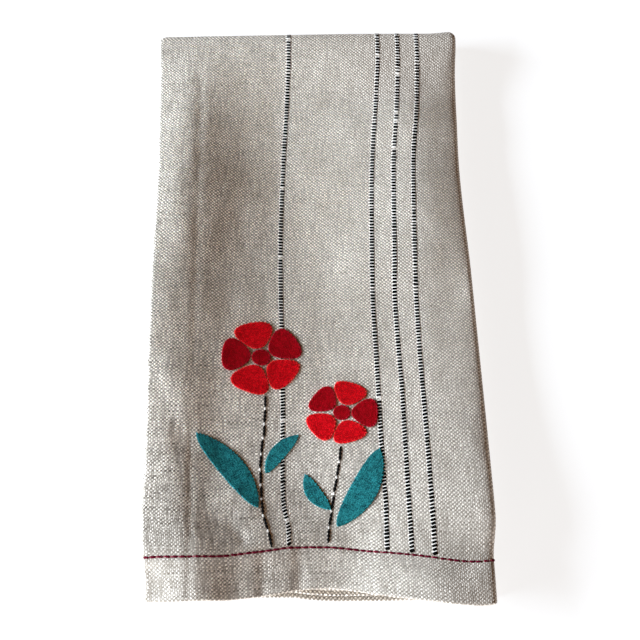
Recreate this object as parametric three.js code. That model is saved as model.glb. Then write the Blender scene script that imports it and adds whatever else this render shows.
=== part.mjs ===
// A linen tea towel folded in thirds and then in half, lying face up, with
// cut-cloth flowers sewn above its front hem. Millimetres, +Z up, front hem at -Y.
import * as THREE from "three";

// Cloth and fold
const SHEET = 1.0; // thickness of the linen with its loft
const HEM = 23; // depth of the hem at each end
const HEM_EXTRA = 0.2; // how much thicker the cloth is along a hem
const PITCH = 1.7; // distance between neighbouring layers
const FOLD_LOFT = 4; // how far the layers open inside the top fold
const LOFT_RUN = 50; // length over which they open
const LEFT_NOSE = 1.5; // how far the left fold bulges past its layers
const RIGHT_NOSE = 1.8; // the same of the right fold
const FLAP_EDGE = 11; // how far a side flap stops short of the far fold
const TOP_Y = 170.95; // axis of the top fold
const FRONT_Y = -173.35; // mean line of the front hem's edge
const LAYER_STEP = 2; // how far each layer below draws back at the hems
const STEP_FADE = 60; // how far up the cloth that step dies out
const CORNER_INSET = 6; // how far the top left corner is rounded in
const RIGHT_CORNER = 0.7; // the right corner's share of that
const STACK = 5 * PITCH + SHEET;
const SPINE_Z = STACK / 2;

// Turns rows of numbers under named columns into objects
const table = (columns, rows) => {
  const names = columns.split(" ");
  return rows.map((row) => Object.fromEntries(names.map((name, i) => [name, row[i]])));
};

// The two side folds, one row for each section up the front
const SIDES = table("y left right", [
  [-177, -82.4, 82.3],
  [-150, -83.9, 82.7],
  [-128, -85.2, 85.1],
  [-95, -84.6, 85.0],
  [-50, -84.8, 84.6],
  [10, -84.4, 83.7],
  [75, -83.2, 82.0],
  [117, -83.7, 83.0],
  [146, -84.0, 84.0],
  [172, -84.7, 85.7],
]);

// Heights of the face in the same sections: the left fold, the crest of the soft roll
// beside it, its flank down to the flat middle, and the low swell by the stripes.
// Columns that end in _in are distances from the left fold.
const FACE = table("y edge crest_in crest flank_in flank foot_in step swell fall", [
  [-177, 5.0, 22, 7.1, 45, 3.1, 93, 2.5, 5.5, 4.8],
  [-160, 6.3, 21, 7.9, 46, 3.5, 94, 2.3, 4.8, 4.3],
  [-150, 8.3, 18, 8.7, 51, 4.1, 99, 1.4, 3.0, 2.2],
  [-124, 6.8, 14, 6.8, 36, 3.8, 84, 1.5, 3.6, 4.6],
  [-95, 6.7, 11, 6.5, 40, 2.0, 76, 1.2, 2.6, 3.0],
  [-50, 8.3, 8, 8.3, 41, 3.5, 92, 0.2, 0.8, 0.9],
  [-9, 10.0, 22, 7.8, 42, 3.9, 87, 0.1, 0.9, 0.1],
  [20, 9.0, 8, 8.9, 46, 2.5, 80, 1.4, 2.7, 1.3],
  [60, 8.8, 9, 9.0, 53, 1.7, 71, 1.2, 3.1, 1.6],
  [90, 6.4, 11, 6.7, 51, 1.3, 70, 0.7, 2.2, 0.8],
  [109, 5.1, 14, 5.8, 52, 1.2, 67, 1.5, 2.4, 1.3],
  [131, 3.8, 14, 4.4, 50, 1.6, 71, 0.6, 1.2, 0.2],
  [153, 1.8, 14, 2.1, 46, 1.1, 70, 0.4, 0.5, -0.1],
  [172, 0.0, 14, 0.0, 44, 0.0, 70, 0.0, 0.0, 0.0],
]);
const FOOT = 0.1; // height of the flat middle
const STEP_X = 31; // where the face steps up to the stripes
const SWELL_X = 58; // crest of the low swell

// How far the face rolls down at the right fold, over the last ROLL_WIDE of its width
const ROLL_WIDE = 10;
const RIGHT_ROLL = table("y drop", [
  [-177, 0.25],
  [-150, 0.3],
  [-120, 0.3],
  [-92, 0.65],
  [-64, 0.55],
  [-35, 0.65],
  [-5, 0.0],
  [27, 0.45],
  [58, 0.55],
  [93, 0.8],
  [142, 0.75],
  [163, 0.3],
  [172, 0.0],
]);

// Ends of the cloth: how far each hem edge lies from its mean line, across the width
const FRONT_EDGE = table("x dy", [
  [-86, 1.0],
  [-65, 0.1],
  [-50, 0.5],
  [-37, 2.1],
  [-21, 4.6],
  [-8, 7.1],
  [4, 7.5],
  [14, 6.3],
  [28, 2.9],
  [46, -0.8],
  [60, -3.3],
  [74, -4.5],
  [86, -3.6],
]);
const BACK_EDGE = table("x dy", [
  [-86, 8.5],
  [-40, 7.8],
  [-14, 7.2],
  [-3, 5.7],
  [7, 5.0],
  [36, 4.6],
  [86, 5.0],
]);
// How far the top fold reaches past its mean line, across the width
const TOP_EDGE = table("x dy", [
  [-86, 0.0],
  [20, 0.0],
  [50, -0.7],
  [70, -1.2],
  [84, 0.3],
]);
const EDGE_FADE = 130; // how far up the cloth a hem's curve dies out

// Share of the face's height that each layer takes, by its place in the fold
const FRONT_SHARE = { outer: 1.0, step: 0.18 };
const BACK_SHARE = 0.2; // per layer away from the surface

// Flowers and leaves: places on the face
const PIECE_GAP = 0.4;
const PIECE_THICK = 0.8;
const RED = 0xd41a12;
const CRIMSON = 0xa50f26;
const TEAL = 0x14727c;
const LINEN = 0xb9b1a5;
const FLOWERS = table("name x y radius heart turn", [
  ["upper", -27, -40, 21, 4.8, 14],
  ["lower", 13, -72, 18, 4.3, -20],
]);
const PETALS = table("turn long wide colour", [
  [0, 1.0, 1.0, RED],
  [71, 0.95, 0.97, CRIMSON],
  [145, 1.02, 1.0, RED],
  [216, 0.96, 1.0, RED],
  [288, 1.0, 0.98, CRIMSON],
]);
const PETAL_WIDE = 0.86; // of the flower's radius
const HEART_GAP = 0.5; // between a flower's heart and its petals
const LEAVES = table("name x0 y0 x1 y1 bow wide", [
  ["leaf_left_large", -29, -124, -59, -84, 3, 13],
  ["leaf_left_small", -25, -105, -9, -84, -2, 8],
  ["leaf_right_large", 9, -134, 31, -93, 3, 13.5],
  ["leaf_right_small", 6, -125, -6, -106, -2, 8],
]);

// Smooth curve through a table's rows, without overshoot
function along(rows, key, value, at) {
  const last = rows.length - 1;
  if (at <= rows[0][key]) return rows[0][value];
  if (at >= rows[last][key]) return rows[last][value];
  const i = rows.findIndex((row) => row[key] > at) - 1;
  const slope = (a) => (rows[a + 1][value] - rows[a][value]) / (rows[a + 1][key] - rows[a][key]);
  const tangent = (a) => {
    if (a === 0 || a === last) return 0;
    const before = slope(a - 1);
    const after = slope(a);
    return before * after > 0 ? (2 * before * after) / (before + after) : 0;
  };
  const run = rows[i + 1][key] - rows[i][key];
  const t = (at - rows[i][key]) / run;
  const ease = t * t * (3 - 2 * t);
  const rise = rows[i + 1][value] - rows[i][value];
  const lean = run * t * (1 - t) * ((1 - t) * tangent(i) - t * tangent(i + 1));
  return rows[i][value] + rise * ease + lean;
}

const side = (column, y) => along(SIDES, "y", column, y);
const section = (column, y) => along(FACE, "y", column, y);
const smooth = (t) => THREE.MathUtils.smoothstep(t, 0, 1);

// Height of the face above the flat stack
function relief(x, y) {
  const left = side("left", y);
  const profile = [
    { x: left, z: section("edge", y) },
    { x: left + section("crest_in", y), z: section("crest", y) },
    { x: left + section("flank_in", y), z: section("flank", y) },
    { x: left + section("foot_in", y), z: FOOT },
    { x: STEP_X, z: section("step", y) },
    { x: SWELL_X, z: section("swell", y) },
    { x: side("right", y), z: section("fall", y) },
  ];
  const rolled = THREE.MathUtils.clamp((x - side("right", y)) / ROLL_WIDE + 1, 0, 1);
  return along(profile, "x", "z", x) - along(RIGHT_ROLL, "y", "drop", y) * rolled * rolled;
}

const loft = (y) => FOLD_LOFT * smooth((y - TOP_Y + LOFT_RUN) / LOFT_RUN);
const depth = (layer) => (2.5 - layer) * PITCH;
const faceHeight = (x, y) => STACK + loft(y) + relief(x, y);

// One section across the fold: the left flap, up round the left fold, over the face,
// down round the right fold and back under as the right flap. layer 0 is the face.
function acrossFold() {
  const path = [];
  const flap = 9;
  const face = 21;
  const fold = 4;
  for (let i = 0; i < flap; i++) path.push({ part: "flap", t: 1 - i / flap, layer: 1 });
  for (let i = 0; i < fold; i++) path.push({ part: "left", t: i / fold });
  for (let i = 0; i < face; i++) path.push({ part: "face", t: i / face, layer: 0 });
  for (let i = 0; i < fold; i++) path.push({ part: "right", t: i / fold });
  for (let i = 0; i <= flap; i++) path.push({ part: "under", t: 1 - i / flap, layer: 2 });
  return path;
}

function placeAcross(stop, left, right) {
  const inLeft = left + SHEET / 2 + LEFT_NOSE;
  const inRight = right - SHEET / 2 - RIGHT_NOSE;
  const angle = Math.PI * (stop.t ?? 0);
  if (stop.part === "left") {
    return { x: inLeft - LEFT_NOSE * Math.sin(angle), layer: 0.5 + 0.5 * Math.cos(angle) };
  }
  if (stop.part === "right") {
    return { x: inRight + RIGHT_NOSE * Math.sin(angle), layer: 1 - Math.cos(angle) };
  }
  const crowd = stop.t * (0.7 + 0.3 * stop.t);
  if (stop.part === "flap") {
    return { x: THREE.MathUtils.lerp(inLeft, inRight - FLAP_EDGE, crowd), layer: stop.layer };
  }
  const start = stop.part === "under" ? inLeft + FLAP_EDGE : inLeft;
  return { x: THREE.MathUtils.lerp(start, inRight, crowd), layer: stop.layer };
}

// Distances from the hem's edge at which the sheet has a section
const HALF_LENGTH = 350;
const AT_HEM = [HEM, HEM + 1.5];
const UP_THE_FRONT = [34, 46, 60, 76, 94, 114, 136, 160, 186, 212, 238, 262, 286, 308, 326];
const FRONT_STOPS = [0, 5, 12, 18, ...AT_HEM, ...UP_THE_FRONT];
const BACK_STOPS = [300, 240, 170, 100, 50, ...AT_HEM.toReversed(), 10, 0];

// Stops along the cloth: front half from its hem to the top fold, the fold, the back half
function alongFold() {
  const path = FRONT_STOPS.map((run) => ({ part: "front", run, y: FRONT_Y + run }));
  const bends = 6;
  for (let i = 0; i <= bends; i++) {
    path.push({ part: "bend", run: HALF_LENGTH, angle: Math.PI * (0.5 - i / bends) });
  }
  for (const run of BACK_STOPS) path.push({ part: "back", run, y: FRONT_Y + run });
  return path;
}

// Middle of the sheet at one stop across and one stop along
function sheetPoint(across, stop) {
  const bend = stop.part === "bend" ? Math.cos(stop.angle) : 0;
  const y = stop.part === "bend" ? TOP_Y : stop.y;
  const left = side("left", y) + CORNER_INSET * bend * bend;
  const right = side("right", y) - RIGHT_CORNER * CORNER_INSET * bend * bend;
  const { x, layer } = placeAcross(across, left, right);
  const out = depth(layer);
  if (stop.part === "bend") {
    const radius = out + FOLD_LOFT / 2;
    const reach = radius + along(TOP_EDGE, "x", "dy", x);
    const rise = radius * Math.sin(stop.angle);
    return new THREE.Vector3(x, TOP_Y + reach * bend, SPINE_Z + FOLD_LOFT / 2 + rise);
  }
  const ends = stop.part === "front" ? FRONT_EDGE : BACK_EDGE;
  const drawn = along(ends, "x", "dy", x) * (1 - smooth(stop.run / EDGE_FADE));
  const stepped = LAYER_STEP * layer * (1 - smooth(stop.run / STEP_FADE));
  const height = relief(x, y);
  const z = stop.part === "front"
    ? SPINE_Z + out + loft(y) + height * (FRONT_SHARE.outer - FRONT_SHARE.step * layer)
    : SPINE_Z - out + height * BACK_SHARE * layer;
  return new THREE.Vector3(x, y + drawn + stepped, z);
}

// Closes a grid of points into a sheet, outer side along the grid's normal
function sheetGeometry(grid, outer, inner) {
  const rows = grid.length;
  const columns = grid[0].length;
  const at = (i, j) => grid[THREE.MathUtils.clamp(i, 0, rows - 1)][THREE.MathUtils.clamp(j, 0, columns - 1)];
  const points = [];
  for (const side of [1, -1]) {
    for (let i = 0; i < rows; i++) {
      for (let j = 0; j < columns; j++) {
        const down = at(i + 1, j).clone().sub(at(i - 1, j));
        const over = at(i, j + 1).clone().sub(at(i, j - 1));
        const normal = over.cross(down).normalize();
        const reach = side > 0 ? outer(i) : -inner(i);
        points.push(...at(i, j).clone().addScaledVector(normal, reach).toArray());
      }
    }
  }
  const faces = [];
  const id = (side, i, j) => side * rows * columns + i * columns + j;
  const quad = (a, b, c, d) => faces.push(a, b, c, a, c, d);
  for (let i = 0; i < rows - 1; i++) {
    for (let j = 0; j < columns - 1; j++) {
      quad(id(0, i, j), id(0, i, j + 1), id(0, i + 1, j + 1), id(0, i + 1, j));
      quad(id(1, i, j), id(1, i + 1, j), id(1, i + 1, j + 1), id(1, i, j + 1));
    }
    quad(id(0, i, 0), id(0, i + 1, 0), id(1, i + 1, 0), id(1, i, 0));
    const end = columns - 1;
    quad(id(0, i, end), id(1, i, end), id(1, i + 1, end), id(0, i + 1, end));
  }
  for (let j = 0; j < columns - 1; j++) {
    quad(id(0, 0, j), id(1, 0, j), id(1, 0, j + 1), id(0, 0, j + 1));
    const end = rows - 1;
    quad(id(0, end, j), id(0, end, j + 1), id(1, end, j + 1), id(1, end, j));
  }
  const geometry = new THREE.BufferGeometry();
  geometry.setAttribute("position", new THREE.Float32BufferAttribute(points, 3));
  geometry.setIndex(faces);
  geometry.computeVertexNormals();
  return geometry;
}

function clothMaterial(colour) {
  return new THREE.MeshStandardMaterial({ color: colour, roughness: 0.9, metalness: 0 });
}

function makeTowel() {
  const stops = alongFold();
  const across = acrossFold();
  const grid = stops.map((stop) => across.map((place) => sheetPoint(place, stop)));
  const hemmed = (i) => SHEET / 2 + (stops[i].run <= HEM ? HEM_EXTRA : 0);
  const towel = new THREE.Mesh(sheetGeometry(grid, () => SHEET / 2, hemmed), clothMaterial(LINEN));
  towel.name = "towel";
  return towel;
}

// A cut piece of cloth on the face, from a base to a tip, widest at its middle.
// pointed 1 gives an oval, more gives a sharper leaf. belly moves the widest place.
function makePiece({ name, x0, y0, x1, y1, bow, wide, pointed, belly, colour }) {
  const base = new THREE.Vector2(x0, y0);
  const axis = new THREE.Vector2(x1 - x0, y1 - y0);
  const across = new THREE.Vector2(axis.y, -axis.x).normalize();
  const rows = 9;
  const columns = 3;
  const grid = [];
  for (let i = 0; i <= rows; i++) {
    const angle = Math.PI * (0.06 + (0.88 * i) / rows);
    const t = (1 - Math.cos(angle)) / 2;
    const half = (wide / 2) * Math.sin(angle) ** pointed * (1 + belly * (2 * t - 1));
    const spine = base.clone().addScaledVector(axis, t).addScaledVector(across, bow * Math.sin(Math.PI * t));
    grid.push([]);
    for (let j = 0; j <= columns; j++) {
      const spot = spine.clone().addScaledVector(across, half * (1 - (2 * j) / columns));
      const z = faceHeight(spot.x, spot.y) + PIECE_GAP + PIECE_THICK / 2;
      grid[i].push(new THREE.Vector3(spot.x, spot.y, z));
    }
  }
  const half = () => PIECE_THICK / 2;
  const piece = new THREE.Mesh(sheetGeometry(grid, half, half), clothMaterial(colour));
  piece.name = name;
  return piece;
}

function makeFlower({ name, x, y, radius, heart, turn }) {
  const pieces = PETALS.map((petal, i) => {
    const angle = THREE.MathUtils.degToRad(90 + turn + petal.turn);
    const inner = heart + HEART_GAP;
    const outer = radius * petal.long;
    return makePiece({
      name: `petal_${name}_${i + 1}`,
      x0: x + inner * Math.cos(angle),
      y0: y + inner * Math.sin(angle),
      x1: x + outer * Math.cos(angle),
      y1: y + outer * Math.sin(angle),
      bow: 0,
      wide: radius * PETAL_WIDE * petal.wide,
      pointed: 0.8,
      belly: 0.42,
      colour: petal.colour,
    });
  });
  const centre = makePiece({
    name: `heart_${name}`,
    x0: x,
    y0: y - heart,
    x1: x,
    y1: y + heart,
    bow: 0,
    wide: 2 * heart,
    pointed: 1,
    belly: 0,
    colour: CRIMSON,
  });
  return [...pieces, centre];
}

const makeLeaf = (leaf) => makePiece({ ...leaf, pointed: 1.4, belly: 0, colour: TEAL });

const teaTowel = new THREE.Group();
teaTowel.add(makeTowel(), ...FLOWERS.flatMap(makeFlower), ...LEAVES.map(makeLeaf));

export default teaTowel;
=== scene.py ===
# %% [markdown]
# # A folded linen tea towel
# This lesson dresses a folded tea towel. The CAD model already holds the folded cloth and
# the cut pieces sewn on it as plain solids. Here each of them is replaced by a finer piece
# in the same place, with woven linen, ladder stripes, stitches and a raking window light.

# %% Load the frame
import math
import random

import bmesh
import bpy
from mathutils import Matrix, Vector, noise


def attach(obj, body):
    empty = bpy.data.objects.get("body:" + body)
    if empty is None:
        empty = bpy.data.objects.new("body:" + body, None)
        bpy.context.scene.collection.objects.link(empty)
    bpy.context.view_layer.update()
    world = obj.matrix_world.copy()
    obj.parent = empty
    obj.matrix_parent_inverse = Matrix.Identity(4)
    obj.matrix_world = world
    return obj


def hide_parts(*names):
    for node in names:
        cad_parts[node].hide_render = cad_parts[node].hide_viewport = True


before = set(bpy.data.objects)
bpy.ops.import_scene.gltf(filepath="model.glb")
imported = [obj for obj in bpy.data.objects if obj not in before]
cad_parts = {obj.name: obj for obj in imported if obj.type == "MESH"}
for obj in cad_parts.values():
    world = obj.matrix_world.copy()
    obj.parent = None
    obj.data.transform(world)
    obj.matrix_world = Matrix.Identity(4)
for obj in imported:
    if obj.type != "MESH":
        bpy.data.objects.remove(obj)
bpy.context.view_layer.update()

# %% [markdown]
# ## Camera
# The photographer stood at the hem and looked down at the towel from about 58 degrees above
# the table, with a lens a little longer than normal. A camera could be placed by eye. Here
# its place was worked out from how the bars of the stripes shrink towards the top, so the
# towel narrows in the picture exactly as much as it should.

# %% Camera
def aim(thing, place, target):
    """Puts a camera or a lamp at its place and turns it towards its target."""
    bpy.context.scene.collection.objects.link(thing)
    thing.location = place
    thing.rotation_euler = (Vector(target) - Vector(place)).to_track_quat("-Z", "Y").to_euler()


camera = bpy.data.objects.new("camera", bpy.data.cameras.new("camera"))
looked_at = Vector((0.003365, -0.0162, 0.008))
aim(camera, (-0.00725, -0.47300, 0.73924), looked_at)
camera.data.sensor_width = 36
camera.data.lens = 93.79
bpy.context.scene.camera = camera
print("camera looks down from", round((looked_at - camera.location).length, 3), "m away")

# %% [markdown]
# ## Light and table
# One broad window far to the left and low down rakes over the cloth, so every soft fold
# shows. A pale wall behind the camera sends a little light back along the table, which
# brightens the cloth's front edges. The room gives a dim, warmer light from everywhere, and
# that is nearly all the light the far sides of the folds receive. Many small lamps could do
# the same work, but a few broad ones are easier to balance.

# %% Lamps and room
ROOM_COLOUR = (1.0, 0.52, 0.2, 1)
ROOM_STRENGTH = 0.12


def lamp(name, place, target, size, power, colour):
    light = bpy.data.lights.new(name, "AREA")
    light.shape, light.energy, light.color = "RECTANGLE", power, colour
    light.size, light.size_y = size
    aim(bpy.data.objects.new(name, light), place, target)
    print(name, "gives", power, "watts")


lamp("window", (-1.67, 0.0, 0.375), (0, 0, 0), (1.4, 0.5), 139, (0.74, 0.86, 0.99))
lamp("wall behind the camera", (0, -1.3, 0.08), (0, 0, 0.01), (1.4, 0.3), 26, (0.9, 0.93, 1.0))

world = bpy.data.worlds.new("room")
world.use_nodes = True
room = world.node_tree.nodes["Background"]
room.inputs["Color"].default_value = ROOM_COLOUR
room.inputs["Strength"].default_value = ROOM_STRENGTH
bpy.context.scene.world = world
bpy.context.scene.view_settings.view_transform = "Standard"

# %% Table
TABLE_SIZE = 4
TABLE_DROP = 0.0002  # keeps the table just clear of the cloth
TABLE_PAINT = {
    "Base Color": (0.38, 0.38, 0.38, 1), "Roughness": 0.9,
    "Emission Color": (1, 1, 1, 1), "Emission Strength": 0.8,
}


def smooth_mesh(name, bm):
    """Turns a finished bmesh into a smoothly shaded mesh."""
    for face in bm.faces:
        face.smooth = True
    mesh = bpy.data.meshes.new(name)
    bm.to_mesh(mesh)
    bm.free()
    return mesh


def link(name, mesh):
    piece = bpy.data.objects.new(name, mesh)
    bpy.context.scene.collection.objects.link(piece)
    return piece


bm = bmesh.new()
bmesh.ops.create_grid(bm, x_segments=1, y_segments=1, size=TABLE_SIZE)
table = link("table", smooth_mesh("table", bm))
table.location.z = -TABLE_DROP
paint = bpy.data.materials.new("table_paint")
paint.use_nodes = True
for socket, value in TABLE_PAINT.items():
    paint.node_tree.nodes["Principled BSDF"].inputs[socket].default_value = value
table.data.materials.append(paint)
print("the table is", round(table.dimensions.x, 2), "m wide")

# %% [markdown]
# ## How the cloth is folded
# A tea towel of 50 by 70 cm is folded in thirds along its length and then in half across.
# The fold could be simulated, but a simulated fold lands a little differently from the one
# in the photograph. A short table of measured sections, with smooth curves drawn through
# them, puts each fold where it really lies. All the lengths below are in millimetres.

# %% Sizes of the fold
SHEET = 1.0  # thickness of the cloth with its loft
HEM = 23  # depth of the hem
HEM_EXTRA = 0.2  # how much higher the cloth stands along a hem
PITCH = 1.7  # from one layer to the next
MIDDLE_LAYER = 2.5  # layers from the outermost sheet to the middle of the stack
OUTER_LAYER = MIDDLE_LAYER * PITCH
FOLD_LOFT = 4  # how far the layers open inside the top fold
LOFT_RUN = 50  # length over which they open
LEFT_NOSE = 1.5  # how far the left fold bulges past its layers
RIGHT_NOSE = 1.8
FLAP_EDGE = 11  # how far a side flap stops short of the far fold
TOP_Y = 170.95  # axis of the top fold
FRONT_Y = -173.35  # mean line of the front hem's edge
LAYER_STEP = 2  # how far each layer below draws back at the hems
STEP_FADE = 60  # how far up the cloth that step dies out
CORNER_INSET = 6  # how far the top left corner is rounded in
RIGHT_CORNER = 0.7  # the right corner's share of that
STACK = 5 * PITCH + SHEET  # six layers
SPINE_Z = STACK / 2
HALF_LENGTH = TOP_Y - FRONT_Y
print("the stack is", STACK, "mm high where it lies flat")

# %% Measured sections across the towel
# y, left fold, right fold
SIDES = [
    (-177, -82.4, 82.3), (-150, -83.9, 82.7), (-128, -85.2, 85.1), (-95, -84.6, 85.0),
    (-50, -84.8, 84.6), (10, -84.4, 83.7), (75, -83.2, 82.0), (117, -83.7, 83.0),
    (146, -84.0, 84.0), (172, -84.7, 85.7),
]
# Heights of the face: y, at the left fold, crest (how far in, height), flank (in, height),
# foot (in), step, swell, right fold
FACE = [
    (-177, 5.0, 22, 7.1, 45, 3.1, 93, 2.5, 5.5, 4.8),
    (-160, 6.3, 21, 7.9, 46, 3.5, 94, 2.3, 4.8, 4.3),
    (-150, 8.3, 18, 8.7, 51, 4.1, 99, 1.4, 3.0, 2.2),
    (-124, 6.8, 14, 6.8, 36, 3.8, 84, 1.5, 3.6, 4.6),
    (-95, 6.7, 11, 6.5, 40, 2.0, 76, 1.2, 2.6, 3.0),
    (-50, 8.3, 8, 8.3, 41, 3.5, 92, 0.2, 0.8, 0.9),
    (-9, 10.0, 22, 7.8, 42, 3.9, 87, 0.1, 0.9, 0.1),
    (20, 9.0, 8, 8.9, 46, 2.5, 80, 1.4, 2.7, 1.3),
    (60, 8.8, 9, 9.0, 53, 1.7, 71, 1.2, 3.1, 1.6),
    (90, 6.4, 11, 6.7, 51, 1.3, 70, 0.7, 2.2, 0.8),
    (109, 5.1, 14, 5.8, 52, 1.2, 67, 1.5, 2.4, 1.3),
    (131, 3.8, 14, 4.4, 50, 1.6, 71, 0.6, 1.2, 0.2),
    (153, 1.8, 14, 2.1, 46, 1.1, 70, 0.4, 0.5, -0.1),
    (172, 0.0, 14, 0.0, 44, 0.0, 70, 0.0, 0.0, 0.0),
]
FOOT = 0.1  # height of the flat middle
STEP_X = 31  # where the face steps up to the stripes
SWELL_X = 58  # crest of the low swell beside them
# y, how far the face rolls down at the right fold, over the last ROLL_WIDE of its width
RIGHT_ROLL = [
    (-177, 0.25), (-150, 0.3), (-120, 0.3), (-92, 0.65), (-64, 0.55), (-35, 0.65), (-5, 0.0),
    (27, 0.45), (58, 0.55), (93, 0.8), (142, 0.75), (163, 0.3), (172, 0.0),
]
ROLL_WIDE = 10
print(len(FACE), "sections up the face")

# %% Measured ends of the cloth
EDGE_FADE = 130  # how far up the cloth its threads follow the hem's edge
# x, how far the hem's edge lies from its mean line
FRONT_EDGE = [
    (-86, 1.0), (-65, 0.1), (-50, 0.5), (-37, 2.1), (-21, 4.6), (-8, 7.1), (4, 7.5),
    (14, 6.3), (28, 2.9), (46, -0.8), (60, -3.3), (74, -4.5), (86, -3.6),
]
BACK_EDGE = [(-86, 8.5), (-40, 7.8), (-14, 7.2), (-3, 5.7), (7, 5.0), (36, 4.6), (86, 5.0)]
# x, distance from the hem's edge to its stitches
STITCH = [
    (-86, 20.9), (-72, 21.7), (-57, 21.8), (-46, 21.9), (-33, 22.4), (-19, 22.7), (-9, 21.9),
    (5, 21.5), (15, 21.7), (38, 23.2), (52, 23.4), (66, 22.8), (86, 22.7),
]
# x, how far the top fold reaches past its mean line
TOP_EDGE = [(-86, 0.0), (20, 0.0), (50, -0.7), (70, -1.2), (84, 0.3)]
print("the hem bows by", FRONT_EDGE[6][1] - FRONT_EDGE[-2][1], "mm")

# %% Smooth curves through the measured rows
def along(rows, at, value=1):
    """The value at one place, on a smooth curve through the rows that never overshoots them."""
    if at <= rows[0][0]:
        return rows[0][value]
    if at >= rows[-1][0]:
        return rows[-1][value]
    i = next(n for n, row in enumerate(rows) if row[0] > at) - 1

    def slope(a):
        return (rows[a + 1][value] - rows[a][value]) / (rows[a + 1][0] - rows[a][0])

    def tangent(a):
        if a == 0 or a == len(rows) - 1:
            return 0
        before, after = slope(a - 1), slope(a)
        return 2 * before * after / (before + after) if before * after > 0 else 0

    run = rows[i + 1][0] - rows[i][0]
    t = (at - rows[i][0]) / run
    rise = rows[i + 1][value] - rows[i][value]
    lean = run * t * (1 - t) * ((1 - t) * tangent(i) - t * tangent(i + 1))
    return rows[i][value] + rise * t * t * (3 - 2 * t) + lean


def smooth(t):
    t = min(max(t, 0), 1)
    return t * t * (3 - 2 * t)


print("the left fold lies at x =", round(along(SIDES, 0), 2))

# %% The section across the face
profiles = {}


def profile(y):
    """The section across the face at one y, as (x, height) points, worked out once and kept."""
    key = round(y, 4)
    if key not in profiles:
        left = along(SIDES, y, 1)
        row = [along(FACE, y, n) for n in range(1, 10)]
        edge, crest_in, crest, flank_in, flank, foot_in, step, swell, fall = row
        profiles[key] = [
            (left, edge), (left + crest_in, crest), (left + flank_in, flank),
            (left + foot_in, FOOT), (STEP_X, step), (SWELL_X, swell), (along(SIDES, y, 2), fall),
        ]
    return profiles[key]


print("heights across the middle:", [round(height, 1) for _, height in profile(0)])

# %% [markdown]
# ## Creases
# Linen that has been folded and pressed keeps fine lines. Sculpting them by hand would work,
# but a list of soft troughs, each from one point to another with its own depth and width,
# is easy to read and to correct against the photograph.

# %% Creases
# x and y of each end, depth, half width
CREASES = [
    (-60.8, -215, -62.0, -60, 0.26, 1.6),
    (-61.0, -75, -60.0, 175, 0.20, 2.2),
    (-27.3, -190, -27.0, -146, 0.48, 3.0),
    (-9.2, -190, -9.6, -146, 0.45, 3.0),
    (-44, -133, -33, -147, 0.5, 2.0),
    (-80, -52, -62, -100, 0.6, 6.0),
    (-44, -112, -29, -134, -0.5, 9.0),
]


def creases(x, y):
    depth = 0
    for x0, y0, x1, y1, deep, wide in CREASES:
        span = Vector((x1 - x0, y1 - y0))
        t = Vector((x - x0, y - y0)).dot(span) / span.length_squared
        reach = min(max(t, 0), 1)
        off = math.hypot(x - x0 - span.x * reach, y - y0 - span.y * reach)
        if off < 3 * wide:
            trough = deep * math.exp(-((off / wide) ** 2))
            depth += trough * smooth(4 * reach) * smooth(4 - 4 * reach)
    return depth


print("the left crease dips", round(creases(-61.5, -100), 2), "mm")

# %% The face's height, with its waves and its hem
# x and y size of a wave, a place of its own in the noise, height
WAVES = [(26, 34, 1.7, 0.42), (9, 13, 8.2, 0.15)]
CALM_Y, CALM_RUN = 176, 40  # waves and creases die out towards the top fold
GROOVE, GROOVE_WIDE = 0.36, 1.3  # pulled into the hem by its stitches


def relief(x, y):
    """Height of the face above the flat stack."""
    rolled = min(max((x - along(SIDES, y, 2)) / ROLL_WIDE + 1, 0), 1)
    face = along(profile(y), x) - along(RIGHT_ROLL, y) * rolled * rolled
    waves = 0
    for wide, long, own, high in WAVES:
        waves += high * noise.noise(Vector((x / wide, y / long, own)))
    return face + (waves - creases(x, y)) * smooth((CALM_Y - y) / CALM_RUN)


def hem_shape(x, run):
    """The doubled cloth of the hem, and the groove that its stitches pull."""
    past = run - along(STITCH, x)
    return HEM_EXTRA * smooth(0.5 - past / 2) - GROOVE * math.exp(-((past / GROOVE_WIDE) ** 2))


print("the left roll is", round(relief(-76, -50), 1), "mm high")

# %% How the layers follow each other
CROWD = 0.3  # how much closer the columns of the grid lie near the left fold
SETTLE = 0.18  # share of the face's relief that each layer below it loses
BACK_SHARE = 0.2  # share of it that each layer of the back half takes


def loft(y):
    return FOLD_LOFT * smooth((y - TOP_Y + LOFT_RUN) / LOFT_RUN)


def place_across(s, left, right):
    """s runs 0 to 5: left flap, left fold, face, right fold, right flap. Gives x and the layer."""
    in_left = left + SHEET / 2 + LEFT_NOSE
    in_right = right - SHEET / 2 - RIGHT_NOSE
    if 1 <= s < 2:
        angle = math.pi * (s - 1)
        return in_left - LEFT_NOSE * math.sin(angle), 0.5 + 0.5 * math.cos(angle)
    if 3 <= s < 4:
        angle = math.pi * (s - 3)
        return in_right + RIGHT_NOSE * math.sin(angle), 1 - math.cos(angle)
    t = 1 - s if s < 1 else s - 2 if s < 3 else 5 - s
    crowd = t * (1 - CROWD + CROWD * t)
    if s < 1:
        return in_left + (in_right - FLAP_EDGE - in_left) * crowd, 1
    if s < 3:
        return in_left + (in_right - in_left) * crowd, 0
    return in_left + FLAP_EDGE + (in_right - in_left - FLAP_EDGE) * crowd, 2


def drawn(rows, x, run):
    return along(rows, x) * (1 - smooth(run / EDGE_FADE))


def bend_point(x, radius, angle):
    """A point of the top fold."""
    reach = (radius + along(TOP_EDGE, x)) * math.cos(angle)
    return Vector((x, TOP_Y + reach, SPINE_Z + FOLD_LOFT / 2 + radius * math.sin(angle)))


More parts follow.
